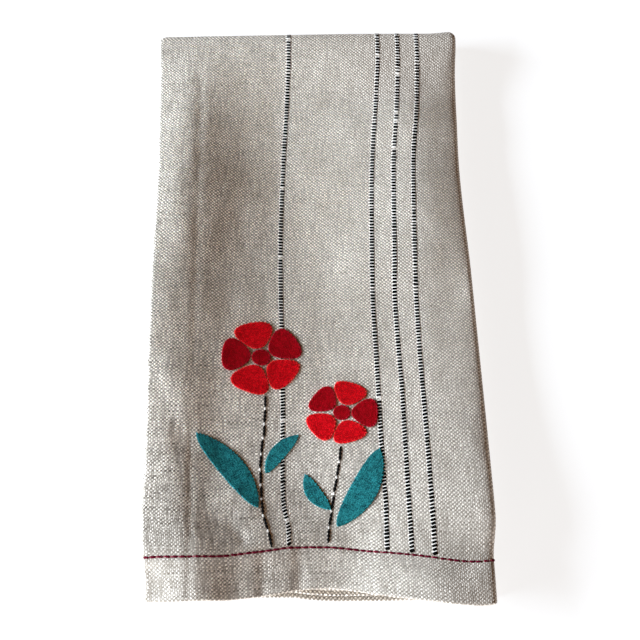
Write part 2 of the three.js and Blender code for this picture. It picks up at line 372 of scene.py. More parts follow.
def flat_point(x, run, layer, front):
    """A point of one layer of the front or the back half."""
    y, out = FRONT_Y + run, (MIDDLE_LAYER - layer) * PITCH
    y_drawn = y + drawn(FRONT_EDGE if front else BACK_EDGE, x, run)
    y_drawn += LAYER_STEP * layer * (1 - smooth(run / STEP_FADE))
    if front:
        height = (relief(x, y) + hem_shape(x, run)) * (1 - SETTLE * layer)
        return Vector((x, y_drawn, SPINE_Z + out + loft(y) + height))
    return Vector((x, y_drawn, SPINE_Z - out + relief(x, y) * BACK_SHARE * layer))


def cloth_point(s, w):
    """Middle of the sheet. w runs 0 to 3: front half from its hem, top fold, back half."""
    front, bend = w < 1, 1 <= w <= 2
    angle = math.pi * (1.5 - w) if bend else 0
    turn = math.cos(angle) if bend else 0
    run = HALF_LENGTH * (w if front else 3 - w)
    y = TOP_Y if bend else FRONT_Y + run
    left = along(SIDES, y, 1) + CORNER_INSET * turn * turn
    right = along(SIDES, y, 2) - CORNER_INSET * turn * turn * RIGHT_CORNER
    x, layer = place_across(s, left, right)
    if bend:
        return bend_point(x, (MIDDLE_LAYER - layer) * PITCH + FOLD_LOFT / 2, angle)
    return flat_point(x, run, layer, front)


print("middle of the face:", [round(value, 2) for value in cloth_point(2.5, 0.5)])

# %% [markdown]
# ## The cloth
# The towel is one sheet, so it starts as one flat grid. Each point of the grid is moved to
# its place in the fold and remembers, in its UV map, where it lay on the flat cloth. The
# weave is drawn from that map, so the threads run round every fold as they do in cloth. A
# Solidify modifier then gives the sheet its thickness and closes its edges. Rows lie closer
# at the hem, where the edge is a rounded turn and the stitches pull the cloth down.

# %% Where the rows and columns of the grid lie
def spread(start, end, count):
    return [start + (end - start) * i / count for i in range(count)]


columns = spread(0, 1, 30) + spread(1, 2, 10) + spread(2, 3, 104)
columns += spread(3, 4, 10) + spread(4, 5, 30) + [5]
hem_runs = [0, 0.12, 0.35, 0.8, 1.6, 3, 5, 7.2, 9.5, 12, 14.5, 17, 18.8] + spread(20, 29, 12)
front_runs = hem_runs + spread(29, HALF_LENGTH, 143)
back_runs = [0, 0.35, 0.8, 2, 6, 12, 18, 22, 24, 26] + spread(30, HALF_LENGTH, 44)
rows = [run / HALF_LENGTH for run in front_runs] + spread(1, 2, 16)
rows += [2] + [3 - run / HALF_LENGTH for run in reversed(back_runs)]
print(len(columns), "columns and", len(rows), "rows")

# %% How far the threads slip sideways up the cloth
# y, how far a lengthwise thread has moved to +x
SLIP = [(-147, 0.8), (-130, 0.0), (0, 0.2), (22, 1.0), (78, 3.3), (125, 6.3), (165, 7.4)]


def arc(points):
    """How far along a row of points each of them lies."""
    total = [0]
    for a, b in zip(points, points[1:]):
        total.append(total[-1] + (b - a).length)
    return total


flat_x = arc([cloth_point(s, 0.5) for s in columns])
flat_y = arc([cloth_point(2.5, w) for w in rows])


def flat_place(i, j):
    """Metres across and along the flat cloth of one point of the grid, less the slip."""
    y = FRONT_Y + rows[j] * HALF_LENGTH if rows[j] < 1 else TOP_Y
    return (flat_x[i] - along(SLIP, y)) / 1000, flat_y[j] / 1000


print("flat size in mm:", round(flat_x[-1], 1), "by", round(flat_y[-1], 1))

# %% Helpers that give a piece its thickness
CLOTH_THICK = 0.00094
EDGE_THIN = 0.25  # share of the thickness at the very edge
EDGE_ROUND = 0.8  # millimetres from there to the full thickness


def edge_fullness(distance):
    """Thickness near a turned edge, from thin at the edge to full a little way in."""
    t = min(distance / EDGE_ROUND, 1)
    return EDGE_THIN + (1 - EDGE_THIN) * math.sqrt(1 - (1 - t) ** 2)


def thicken(piece, offset, group):
    """Gives a sheet its thickness, times the weight of each point in the group."""
    piece.vertex_groups.new(name=group)
    solid = piece.modifiers.new("thickness", "SOLIDIFY")
    solid.thickness, solid.offset, solid.vertex_group = CLOTH_THICK, offset, group


print("fullness half a millimetre in:", round(edge_fullness(0.5), 2))

# %% Fold the grid
bm = bmesh.new()
bmesh.ops.create_grid(bm, x_segments=len(columns) - 1, y_segments=len(rows) - 1, size=0.5)
uv = bm.loops.layers.uv.new("cloth")
weights = bm.verts.layers.deform.new()
place = {}
for vert in bm.verts:
    i = round((vert.co.x + 0.5) * (len(columns) - 1))
    j = round((vert.co.y + 0.5) * (len(rows) - 1))
    place[vert] = (i, j)
    vert.co = cloth_point(columns[i], rows[j]) / 1000
    from_hem = min(rows[j], 3 - rows[j]) * HALF_LENGTH
    vert[weights][0] = edge_fullness(from_hem)
for face in bm.faces:
    for loop in face.loops:
        loop[uv].uv = flat_place(*place[loop.vert])
cloth_mesh = smooth_mesh("towel_cloth", bm)
towel_cloth = link("towel_cloth", cloth_mesh)
thicken(towel_cloth, 0, "fullness")
print("cloth:", len(cloth_mesh.vertices), "points")

# %% [markdown]
# ## Linen
# The cloth is a plain weave of fairly coarse linen: each thread goes over one and under the
# next, no two threads are equally thick, and slubs run along them. A photograph of linen
# could be wrapped on, but it would repeat and blur. Sines of the flat place make the over
# and under of the threads at their real spacing, about a millimetre, and noise stretched
# along each thread makes it thick, thin, light or dark. Light and shade are painted into the
# colour as well: the low places between the crossings are painted darker and browner, and
# the lengthwise threads lighter than the crosswise ones, as a low light from the side would
# show them.

# %% Helpers for material nodes
class Shading:
    """A material built node by node. Sockets or numbers go in, a socket comes out."""

    def __init__(self, name):
        self.material = bpy.data.materials.new(name)
        self.material.use_nodes = True
        self.tree = self.material.node_tree
        self.shader = self.tree.nodes["Principled BSDF"]

    def node(self, kind, values, **settings):
        made = self.tree.nodes.new(kind)
        for key, value in settings.items():
            setattr(made, key, value)
        for key, value in values.items():
            if isinstance(value, bpy.types.NodeSocket):
                self.tree.links.new(value, made.inputs[key])
            else:
                made.inputs[key].default_value = value
        return made

    def calc(self, operation, *values):
        return self.node("ShaderNodeMath", dict(enumerate(values)), operation=operation).outputs[0]

    def times(self, first, second):
        return self.calc("MULTIPLY", first, second)

    def plus(self, first, second):
        return self.calc("ADD", first, second)

    def minus(self, first, second):
        return self.calc("SUBTRACT", first, second)

    def point(self, x, y):
        return self.node("ShaderNodeCombineXYZ", {0: x, 1: y}).outputs[0]

    def noise(self, x, y, scale, detail, rough=0.5):
        values = {"Vector": self.point(x, y), "Scale": scale, "Detail": detail, "Roughness": rough}
        return self.node("ShaderNodeTexNoise", values, noise_dimensions="2D").outputs["Fac"]

    def remap(self, value, low, high, to_low=0, to_high=1):
        values = {0: value, 1: low, 2: high, 3: to_low, 4: to_high}
        return self.node("ShaderNodeMapRange", values).outputs[0]

    def between(self, factor, first, second):
        return self.node("ShaderNodeMix", {0: factor, 2: first, 3: second}).outputs[0]

    def mix(self, factor, first, second, blend="MIX"):
        values = {0: factor, 6: first, 7: second}
        return self.node("ShaderNodeMix", values, data_type="RGBA", blend_type=blend).outputs[2]

    def flat_place(self):
        place = self.node("ShaderNodeUVMap", {}, uv_map="cloth").outputs[0]
        split = self.node("ShaderNodeSeparateXYZ", {0: place})
        return split.outputs[0], split.outputs[1]

    def own_value(self, warp_id, weft_id):
        """A random value for each crossing of two threads."""
        values = {"Vector": self.point(warp_id, weft_id)}
        return self.node("ShaderNodeTexWhiteNoise", values, noise_dimensions="2D").outputs["Value"]

    def surface(self, colour, height, strength, depth, roughness, shine):
        """Joins a colour, bumps, a roughness and a shine to the shader."""
        values = {"Height": height, "Strength": strength, "Distance": depth}
        bump = self.node("ShaderNodeBump", values).outputs[0]
        for socket, value in {"Base Color": colour, "Normal": bump, "Roughness": roughness}.items():
            self.tree.links.new(value, self.shader.inputs[socket])
        self.shader.inputs["Specular IOR Level"].default_value = shine
        return self.material


print("made the helpers for materials")

# %% Where the linen's threads run
WARP_PITCH = 0.00102  # metres from one lengthwise thread to the next
WEFT_PITCH = 0.00092
OPENING = 124  # how fast the wefts spread apart up the cloth


def wander(m, x, y, scale, detail, rough, most):
    """Noise that moves threads sideways, counted in threads."""
    return m.times(m.minus(m.noise(x, y, scale, detail, rough), 0.5), most)


def linen_threads(m, u, v):
    """The flat place counted in threads, both ways."""
    shiver = wander(m, u, v, 560, 1, 0.5, 0.7)
    warp_wander = wander(m, u, v, 120, 4, 0.8, 1.7)
    weft_wander = wander(m, v, u, 110, 4, 0.8, 1.9)
    warp = m.plus(m.calc("DIVIDE", u, WARP_PITCH), m.plus(warp_wander, shiver))
    opened = m.times(m.times(v, v), OPENING)
    weft = m.plus(m.minus(m.calc("DIVIDE", v, WEFT_PITCH), opened), weft_wander)
    return warp, weft


print("linen threads are", WARP_PITCH * 1000, "by", WEFT_PITCH * 1000, "mm apart")

# %% Slubs
SLUB_STRETCH = 0.08  # how slowly slubs change along a thread
WARP_SEED, WEFT_SEED = 7.31, 5.17  # set neighbouring threads apart in the noise


def slubs(m, thread_id, seed, lengthwise, uneven):
    """How thick a thread is at one place, from thin to thick about zero."""
    across, slow = m.times(thread_id, seed), m.times(lengthwise, SLUB_STRETCH)
    found = m.noise(across, slow, 1, 3, 0.6)
    return m.times(m.remap(found, 0.25, 0.75, -1, 1), uneven)


print("slubs are about", round(1 / SLUB_STRETCH), "threads long")


# %% The weave
def weave(m, u, v, warp, weft):
    """Height of the thread on top at each place, and its tone: its slubs, with the lengthwise
    threads painted lighter and the crosswise ones painted darker, as the low window light would
    make them.
    """
    warp_id, weft_id = m.calc("FLOOR", warp), m.calc("FLOOR", weft)
    # slubs show most just above the hem, and more on the left
    uneven = m.times(m.remap(v, 0.04, 0.16, 1.35, 0.55), m.remap(u, 0.18, 0.31, 1.15, 0.7))
    warp_slub = slubs(m, warp_id, WARP_SEED, weft, uneven)
    weft_slub = slubs(m, weft_id, WEFT_SEED, warp, uneven)
    warp_turn, weft_turn = m.times(warp, math.pi), m.times(weft, math.pi)
    wave_u, wave_v = m.calc("SINE", warp_turn), m.calc("SINE", weft_turn)
    # the yarns' twist leans each crossing, one way up the cloth and the other way near the hem
    lean = m.times(m.calc("COSINE", warp_turn), m.calc("COSINE", weft_turn))
    lean = m.times(lean, m.remap(v, 0.06, 0.2, -0.11, 0.15))
    over = m.remap(m.minus(m.times(wave_u, wave_v), lean), -0.45, 0.22)
    # each thread is round across and sinks where the other set passes over it
    across_warp = m.calc("POWER", m.calc("ABSOLUTE", wave_u), 0.42)
    across_weft = m.calc("POWER", m.calc("ABSOLUTE", wave_v), 0.36)
    warp_top = m.times(m.remap(across_warp, 0, 1, 0.2, 1), m.remap(across_weft, 0, 1, 0.4, 1))
    weft_top = m.times(m.remap(across_weft, 0, 1, 0.3, 1), m.remap(across_warp, 0, 1, 0.2, 0.5))
    warp_top = m.times(warp_top, m.calc("MULTIPLY_ADD", warp_slub, 0.35, 1))
    weft_top = m.times(weft_top, m.calc("MULTIPLY_ADD", weft_slub, 0.42, 1))
    uneven_height = m.remap(m.own_value(warp_id, weft_id), 0, 1, 0.87, 1.08)
    height = m.times(m.between(over, weft_top, warp_top), uneven_height)
    # painted light and shade: lengthwise threads are painted lighter and crosswise ones darker, as
    # a low light from the side falls on them
    warp_slub_and_light = m.calc("MULTIPLY_ADD", warp_slub, 0.26, 1.14)
    weft_slub_and_shade = m.calc("MULTIPLY_ADD", weft_slub, 0.27, 0.69)
    return height, m.between(over, weft_slub_and_shade, warp_slub_and_light)


# painted light: the lengthwise threads are lighter because light is painted on them
print("the lengthwise threads are the lighter ones")

# %% Linen
MEAN_TONE = 0.83
# the yarn's colour on the thread tops, and a darker, browner painted shade for the low places
# between them
LINEN_GAP_SHADE, LINEN_TOP = (0.56, 0.46, 0.35, 1), (0.69, 0.63, 0.55, 1)


def linen():
    m = Shading("linen")
    u, v = m.flat_place()
    height, tone = weave(m, u, v, *linen_threads(m, u, v))
    patch = m.remap(m.noise(u, v, 14, 3), 0.3, 0.7, 0.96, 1.04)
    # how strongly the weave's tones and its painted light and shade show: more up the cloth than at
    # the hem, more on the left than on the right, and least at the hem's left corner
    tone_and_shade_contrast = m.minus(m.remap(v, 0.03, 0.18, 0.86, 1.28), m.remap(v, 0.24, 0.35, 0, 0.08))
    tone_and_shade_contrast = m.times(tone_and_shade_contrast, m.remap(u, 0.165, 0.31, 1.15, 0.84))
    from_side, from_hem = m.remap(u, 0.168, 0.195, 0.6, 1), m.remap(v, 0.018, 0.04, 0.6, 1)
    tone_and_shade_contrast = m.times(tone_and_shade_contrast, m.calc("MAXIMUM", from_side, from_hem))
    # painted shade: the low places between the crossings are painted darker, the high tops lighter
    shaded = m.times(m.remap(height, 0, 1, 0.42, 1.3), tone)
    shaded = m.times(m.minus(shaded, MEAN_TONE), tone_and_shade_contrast)
    lit = m.times(m.plus(shaded, MEAN_TONE), patch)
    grey = m.node("ShaderNodeCombineColor", {0: lit, 1: lit, 2: lit}).outputs[0]
    # painted shade: the yarn's colour turns darker and browner where the thread lies low
    yarn_and_gap_shade = m.mix(m.remap(height, 0.1, 0.8), LINEN_GAP_SHADE, LINEN_TOP)
    colour = m.mix(1.0, yarn_and_gap_shade, grey, "MULTIPLY")
    m.shader.inputs["Sheen Weight"].default_value = 0.12
    m.shader.inputs["Sheen Roughness"].default_value = 0.6
    return m.surface(colour, height, 0.5, 0.00035, m.remap(height, 0, 1, 0.98, 0.82), 0.25)


cloth_mesh.materials.append(linen())
print("the cloth is covered in", cloth_mesh.materials[0].name)

# %% [markdown]
# ## Places on the cloth
# Everything sewn on the towel has to lie on its surface, over the rolls and round the top
# fold. It could be shrink-wrapped on, but the fold's own functions already give the exact
# surface. These helpers turn them into a small frame at any spot: one axis across, one along
# and one straight out of the cloth.

# %% Spots and frames on the outer side of the cloth
OUTER = 0.47  # from the middle of the sheet to its outer side
BEND_RADIUS = OUTER_LAYER + FOLD_LOFT / 2
BEND_LENGTH = math.pi * BEND_RADIUS
WHOLE_LENGTH = 2 * HALF_LENGTH + BEND_LENGTH


def face_top(x, y):
    """Height of the face's surface straight above a point of the table."""
    flat = y
    for _ in range(4):
        flat = y - drawn(FRONT_EDGE, x, flat - FRONT_Y)
    height = relief(x, flat) + hem_shape(x, flat - FRONT_Y)
    return SPINE_Z + OUTER_LAYER + loft(flat) + height + OUTER


print("the left roll stands", round(face_top(-72, -50), 1), "mm above the table")

# %% Following the cloth lengthwise
def lengthwise_spot(x, run):
    """Middle of the outermost layer at one x, a distance along the cloth from the front hem."""
    if run < HALF_LENGTH:
        return flat_point(x, run, 0, True)
    if run < HALF_LENGTH + BEND_LENGTH:
        return bend_point(x, BEND_RADIUS, math.pi / 2 - (run - HALF_LENGTH) / BEND_RADIUS)
    return flat_point(x, WHOLE_LENGTH - run, 0, False)


def frame_at(spot, across, lengthwise, turn, lift, size):
    """A matrix in metres that lays a small shape on the cloth. Lift and size are in mm."""
    out = across.cross(lengthwise).normalized()
    across = across.normalized()
    axes = Matrix((across, out.cross(across), out)).transposed().to_4x4()
    place = Matrix.Translation((spot + out * lift) / 1000) @ axes @ Matrix.Rotation(turn, 4, "Z")
    return place @ Matrix.Diagonal((*(value / 1000 for value in size), 1))


print("the cloth is", round(WHOLE_LENGTH), "mm long outside")

# %% Stamping many small shapes into one mesh
ABOVE_TABLE = 0.00001  # metres


def stamp(bm, shape, *where):
    """Adds a copy of a small shape, laid on the cloth as frame_at says."""
    copy = shape.copy()
    copy.transform(frame_at(*where))
    bm.from_mesh(copy)
    bpy.data.meshes.remove(copy)


def finished(name, bm, material):
    """Puts a bmesh on the towel as one piece that never reaches below the table."""
    for vert in bm.verts:
        vert.co.z = max(vert.co.z, ABOVE_TABLE)
    mesh = smooth_mesh(name, bm)
    mesh.materials.append(material)
    piece = link(name, mesh)
    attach(piece, "root")
    print(name, "has", sum(len(face.vertices) - 2 for face in mesh.polygons), "triangles")
    return piece


def short_bar(bevel):
    """A block of unit size with soft edges, for a short length of thread."""
    bm = bmesh.new()
    bmesh.ops.create_cube(bm, size=1)
    bmesh.ops.bevel(
        bm, geom=bm.edges[:], offset=bevel, segments=1, profile=0.5,
        affect="EDGES", material=-1, clamp_overlap=True,
    )
    return smooth_mesh("short_bar", bm)


print("no thread lies lower than", ABOVE_TABLE * 1000, "mm")

# %% Thread material
FIBRES = 2600  # fineness of the fibres


def thread(name, dark, light):
    """Spun thread: fine fibres, lighter and darker, and a dull surface."""
    m = Shading(name)
    spot = m.node("ShaderNodeTexCoord", {}).outputs["Object"]
    values = {"Vector": spot, "Scale": FIBRES, "Detail": 2.0}
    fibre = m.node("ShaderNodeTexNoise", values).outputs["Fac"]
    colour = m.mix(m.remap(fibre, 0.3, 0.7), dark, light)
    return m.surface(colour, fibre, 0.4, 0.0001, m.remap(fibre, 0, 1, 0.95, 0.7), 0.03)


print("fibres are about", round(1000 / FIBRES, 1), "mm wide")

# %% [markdown]
# ## Ladder stripes
# Four narrow stripes are woven in: across each one, black weft threads lie on the surface
# like the rungs of a ladder, with nearly white ones between them. They could be painted in
# the linen's material, but as small raised bars they catch the low light and stay sharp.
# Hand-woven stripes are never even, so some rungs are thick, thin, slanted or missing.

# %% Places of the stripes and their rungs
# y, then x of the single stripe and of the three on the right
LADDERS = [
    (-143, -14.3, 32.4, 44.0, 54.8), (-125, -16.6, 32.7, 43.8, 54.8),
    (-105, -16.9, 32.1, 43.7, 54.7), (-65, -16.3, 31.8, 43.7, 54.2),
    (-37, -16.2, 31.5, 43.1, 53.7), (-8, -16.7, 31.1, 42.6, 53.7),
    (23, -16.6, 31.8, 43.8, 54.5), (78, -14.6, 34.0, 45.8, 56.5),
    (129, -11.7, 38.3, 50.1, 61.3), (164, -10.3, 40.5, 51.9, 62.9),
]
# y, distance from one black rung to the next
RUNG_STEP = [(-150, 1.90), (-50, 1.87), (0, 1.92), (60, 1.97), (100, 2.04), (165, 2.06)]
# y, slant of the rungs in degrees
SLANT = [(-150, 24), (-95, 20), (-45, 5), (0, 0), (60, -4), (165, -6)]
print("halfway up, the stripes lie at x =", LADDERS[5][1:])

# %% Kinds of rungs
RUNG_WIDE, RUNG_THICK, RUNG_UNEVEN, RUNG_GAP = 2.3, 1.56, 0.14, 0.58
RUNG_HIGH, RUNG_SUNK = 0.3, 0.04
GAP_WIDER = 0.3  # the pale threads reach past the rungs
# a draw below these makes a heavy or a fine rung, from the last one on none
HEAVY_BELOW, FINE_BELOW, MISSING_FROM = 0.08, 0.12, 0.988
HEAVY_THICK, HEAVY_GAP, FINE_THICK, MISSING_GAP = 2.2, 0.4, 0.9, 1.0
FIRST_RUNG = 2.2  # past the hem's stitches


def rung_kind(chance):
    """Thickness of a rung, nothing where it is missing, and of the pale gap after it."""
    kind = chance.random()
    if kind < HEAVY_BELOW:
        return HEAVY_THICK, HEAVY_GAP
    if kind < FINE_BELOW:
        return FINE_THICK, RUNG_GAP
    thick = RUNG_THICK + chance.gauss(0, RUNG_UNEVEN)
    return (thick, RUNG_GAP) if kind < MISSING_FROM else (0, MISSING_GAP)


print("one rung in", round(1 / (1 - MISSING_FROM)), "is missing")


# %% Ladder stripes
def ladder_x(stripe, run):
    y = FRONT_Y + run if run < HALF_LENGTH else TOP_Y
    return along(LADDERS, y, stripe)


def ladders():
    chance = random.Random(11)
    bar = short_bar(0.16)
    dark, pale = bmesh.new(), bmesh.new()
    lift = OUTER - RUNG_SUNK
    for stripe in (1, 2, 3, 4):
        start = along(STITCH, ladder_x(stripe, 25)) + FIRST_RUNG
        run = start
        while run < WHOLE_LENGTH - start:
            x = ladder_x(stripe, run)
            spot = lengthwise_spot(x, run)
            across = lengthwise_spot(x + 1, run) - lengthwise_spot(x - 1, run)
            lengthwise = lengthwise_spot(x, run + 0.8) - lengthwise_spot(x, run - 0.8)
            slant = 0
            if run < HALF_LENGTH:
                slant = math.radians(along(SLANT, spot.y) + chance.gauss(0, 4))
            wide = RUNG_WIDE + chance.gauss(0, RUNG_UNEVEN)
            thick, gap = rung_kind(chance)
            if thick:
                size = (wide, thick, RUNG_HIGH)
                stamp(dark, bar, spot, across, lengthwise, slant, lift, size)
            step = along(RUNG_STEP, FRONT_Y + min(run, HALF_LENGTH))
            half = lengthwise_spot(x, run + step / 2)
            size = (wide + GAP_WIDER, gap, RUNG_HIGH)
            stamp(pale, bar, half, across, lengthwise, slant, lift, size)
            run += step * (1 + chance.gauss(0, 0.04))
    black = thread("black_weft", (0.001, 0.001, 0.001, 1), (0.007, 0.006, 0.005, 1))
    white = thread("white_weft", (0.95, 0.90, 0.82, 1), (1.0, 0.96, 0.89, 1))
    return finished("ladder_rungs", dark, black), finished("ladder_gaps", pale, white)


ladder_rungs, ladder_gaps = ladders()

# %% [markdown]
# ## Hem stitches
# The hem is held by a row of back stitches in dark red thread, with the paler pink of the
# thread's return showing between them. The row follows the hem's edge all the way across the
# cloth, so it also runs on round both side folds to the hidden flaps. Each stitch is a short
# bar laid between two points of that line.

# %% The line of a hem's stitches
LINE_POINTS = 1400


def hem_line(front):
    """Points of the stitch line as s, w and place, and how far along it each lies."""
    found = []
    for n in range(1, LINE_POINTS):
        s = 5 * n / LINE_POINTS
        run = along(STITCH, cloth_point(s, 0.06).x) if front else HEM
        w = run / HALF_LENGTH if front else 3 - run / HALF_LENGTH
        found.append((s, w, cloth_point(s, w)))
    return found, arc([place for _, _, place in found])


def point_at(line, length):
    points, lengths = line
    n = next((n for n, value in enumerate(lengths) if value >= length), len(lengths) - 1)
    return points[n]


print("the stitches lie", STITCH[0][1], "mm above the hem at the left")

# %% Hem stitches
STITCH_STEP = 3.45
RED_LONG, RED_UNEVEN, RED_WIDE, RED_HIGH = 2.65, 0.15, 1.25, 0.46
PINK_SIZE = (1.1, 0.9, 0.36)
FIRST_STITCH, LAST_STITCH = 2.0, 4  # from the ends of the row
# s on the turn of the left fold, where the stitches sink in and don't show
HIDDEN_FROM, RED_SHOWS, PINK_SHOWS = 1.3, 1.98, 2


def hem_stitches():
    chance = random.Random(5)
    bar = short_bar(0.22)
    red, pink = bmesh.new(), bmesh.new()
    for front in (True, False):
        line = hem_line(front)
        at = FIRST_STITCH
        while at < line[1][-1] - LAST_STITCH:
            long = RED_LONG + chance.gauss(0, RED_UNEVEN)
            s, w, middle = point_at(line, at)
            start = point_at(line, at - long / 2)[2]
            end = point_at(line, at + long / 2)[2]
            lengthwise = cloth_point(s, w + 0.003) - cloth_point(s, w - 0.003)
            lean = chance.gauss(0, 0.05)
            size = (long, RED_WIDE, RED_HIGH)
            if not HIDDEN_FROM < s < RED_SHOWS:
                stamp(red, bar, middle, end - start, lengthwise, lean, OUTER + 0.05, size)
            s, _, middle = point_at(line, at + STITCH_STEP / 2)
            ahead = point_at(line, at + STITCH_STEP / 2 + 0.5)[2] - middle
            if not HIDDEN_FROM < s < PINK_SHOWS:
                stamp(pink, bar, middle, ahead, lengthwise, 0, OUTER - 0.05, PINK_SIZE)
            at += STITCH_STEP
    maroon = thread("maroon_thread", (0.07, 0.004, 0.012, 1), (0.17, 0.012, 0.028, 1))
    rose = thread("rose_thread", (0.42, 0.10, 0.13, 1), (0.62, 0.22, 0.25, 1))
    return finished("hem_stitches", red, maroon), finished("hem_stitch_gaps", pink, rose)


hem_stitches_red, hem_stitches_pink = hem_stitches()

# %% [markdown]
# ## Flowers and leaves
# The flowers and leaves are cut from plain cotton, their edges turned under and sewn down.
# A flat cut-out would look like paper. Each piece starts as a disc of rings, is pulled to its
# outline, and then laid on the rolls of the towel: the rim stands a little higher, where the
# turned edge makes the cloth double, and rounds off quickly to the linen.

# %% Flowers and leaves as numbers
# name, x, y, radius, radius of the heart, turn in degrees
FLOWERS = [("upper", -27, -40, 21, 4.8, 14), ("lower", 13, -72, 18, 4.3, -20)]
# turn in degrees, length, width, colour
PETALS = [
    (0, 1.0, 1.0, "red"), (71, 0.95, 0.97, "crimson"), (145, 1.02, 1.0, "red"),
    (216, 0.96, 1.0, "red"), (288, 1.0, 0.98, "crimson"),
]
PETAL_WIDE = 0.86  # of the flower's radius
HEART_GAP = 0.5  # from the heart to its petals
# name, base x and y, tip x and y, bow, width
LEAVES = [
    ("leaf_left_large", -29, -124, -59, -84, 3, 13), ("leaf_left_small", -25, -105, -9, -84, -2, 8),
    ("leaf_right_large", 9, -134, 31, -93, 3, 13.5), ("leaf_right_small", 6, -125, -6, -106, -2, 8),
]
print(len(FLOWERS), "flowers of", len(PETALS), "petals and", len(LEAVES), "leaves")


# %% The outline of one piece
UNEVEN_CUT = 0.018  # how unevenly a rim is cut


class CutShape:
    """A cut piece from a base to a tip on the towel, widest at its middle."""

    def __init__(self, base, tip, wide, bow=0, pointed=1, belly=0, seed=0):
        self.base, self.axis = Vector(base), Vector(tip) - Vector(base)
        self.across = Vector((self.axis.y, -self.axis.x)).normalized()
        self.wide, self.bow, self.pointed, self.belly, self.seed = wide, bow, pointed, belly, seed

    def spot(self, p, q):
        """Where a point of the unit disc lies: p runs from base (-1) to tip (1), q across."""
        t = (1 + p) / 2
        reach = math.sqrt(max(1 - p * p, 0.0004)) ** (self.pointed - 1)
        uneven = sum(noise.noise(Vector((rate * p, rate * q, self.seed))) for rate in (2, 9, 21))
        full = q * self.wide / 2 * reach * (1 + self.belly * p)
        sideways = full * (1 + UNEVEN_CUT * uneven * math.hypot(p, q))
        sideways = self.bow * math.sin(math.pi * t) - sideways
        return self.base + self.axis * t + self.across * sideways


print("rims are uneven by about", UNEVEN_CUT * 100, "percent")

# %% A disc to make each piece from
RING_STEPS = [0.02, 0.03, 0.04, 0.06, 0.08, 0.10, 0.11, 0.11, 0.11, 0.11, 0.10]


def disc_of_rings():
    """A flat unit disc made of rings, closer together towards its rim."""
    bm = bmesh.new()
    bmesh.ops.create_circle(bm, cap_ends=True, radius=1, segments=88)
    bm.faces.ensure_lookup_table()
    middle = bm.faces[0]
    for step in RING_STEPS:
        bmesh.ops.inset_individual(bm, faces=[middle], thickness=step, use_even_offset=True)
    bmesh.ops.poke(bm, faces=[middle])
    return bm


print("a piece is cut from", len(RING_STEPS) + 1, "rings")

# %% Height of a sewn piece above the linen
RIM_LOW, RIM_RISE, RIM_ROUND = 0.06, 0.34, 0.5  # the turned edge and how far in it is round
TURNED_UNDER, MIDDLE_DROP, DROP_RUN = 2.6, 0.08, 1.6  # where the cloth is single again


def sewn_height(from_rim):
    t = min(max(from_rim / RIM_ROUND, 0), 1)
    drop = MIDDLE_DROP * smooth((from_rim - TURNED_UNDER) / DROP_RUN)
    return RIM_LOW + RIM_RISE * math.sqrt(1 - (1 - t) ** 2) - drop


print("a turned rim is", round(sewn_height(RIM_ROUND), 2), "mm high")

# %% Cotton material
COTTON_PITCH = 0.00055  # metres from one thread to the next


def cotton(name, deep, bright):
    """Plain cotton: crossings of different tones, slubs both ways and cloudy wear."""
    m = Shading(name)
    u, v = m.flat_place()
    drift = wander(m, u, v, 300, 2, 0.5, 1.6)
    warp = m.plus(m.calc("DIVIDE", u, COTTON_PITCH), drift)
    weft = m.minus(m.calc("DIVIDE", v, COTTON_PITCH), drift)
    own = m.own_value(m.calc("FLOOR", warp), m.calc("FLOOR", weft))
    wave_u = m.calc("SINE", m.times(warp, math.pi))
    wave_v = m.calc("SINE", m.times(weft, math.pi))
    wave = m.remap(m.times(wave_u, wave_v), -0.6, 0.6)
    streak = m.noise(m.times(u, 7), v, 300, 3, 0.65)
    cross = m.noise(u, m.times(v, 7), 300, 3, 0.65)
    slubby = m.remap(m.plus(streak, cross), 0.85, 1.15)
    patch = m.remap(m.noise(u, v, 170, 4, 0.6), 0.32, 0.68)
    grain = m.plus(m.times(own, 0.55), m.times(wave, 0.45))
    wear = m.plus(m.calc("MULTIPLY_ADD", slubby, 0.45, -0.45), m.times(patch, 0.25))
    tone = m.plus(grain, wear)
    roughness = m.remap(tone, 0, 1, 0.95, 0.8)
    return m.surface(m.mix(tone, deep, bright), tone, 0.8, 0.0003, roughness, 0.04)


COTTONS = {
    "red": cotton("red_cotton", (0.36, 0.0005, 0.002, 1), (1.0, 0.005, 0.014, 1)),
    "crimson": cotton("crimson_cotton", (0.17, 0.0004, 0.001, 1), (0.56, 0.001, 0.010, 1)),
    "teal": cotton("teal_cotton", (0.003, 0.038, 0.048, 1), (0.034, 0.35, 0.36, 1)),
}
print("cottons:", list(COTTONS))


# %% Cut and lay one piece
def piece_mesh(cut):
    """The disc pulled to its outline and laid on the towel. Its heights become weights."""
    bm = disc_of_rings()
    uv = bm.loops.layers.uv.new("cloth")
    weights = bm.verts.layers.deform.new()
    flat = {}
    for vert in bm.verts:
        p, q = vert.co.x, vert.co.y
        flat[vert] = (p * cut.axis.length / 2000, q * cut.wide / 2000)
        spot = cut.spot(p, q)
        high = sewn_height((1 - math.hypot(p, q)) * cut.wide / 2)
        vert.co = Vector((spot.x, spot.y, face_top(spot.x, spot.y) + high)) / 1000
        vert[weights][0] = high
    for face in bm.faces:
        for loop in face.loops:
            loop[uv].uv = flat[loop.vert]
    bmesh.ops.recalc_face_normals(bm, faces=bm.faces[:])
    if sum(face.normal.z for face in bm.faces) < 0:
        bmesh.ops.reverse_faces(bm, faces=bm.faces[:])
    return smooth_mesh("sewn_piece", bm)


print("the upper flower lies", round(face_top(-27, -40), 1), "mm up")


# %% Sew one piece
def sewn_piece(name, cut, colour):
    """A piece in place of its CAD node."""
    mesh = piece_mesh(cut)
    mesh.materials.append(COTTONS[colour])
    piece = link(name + "_cloth", mesh)
    thicken(piece, -1, "height")
    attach(piece, "root")
    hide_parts(name)


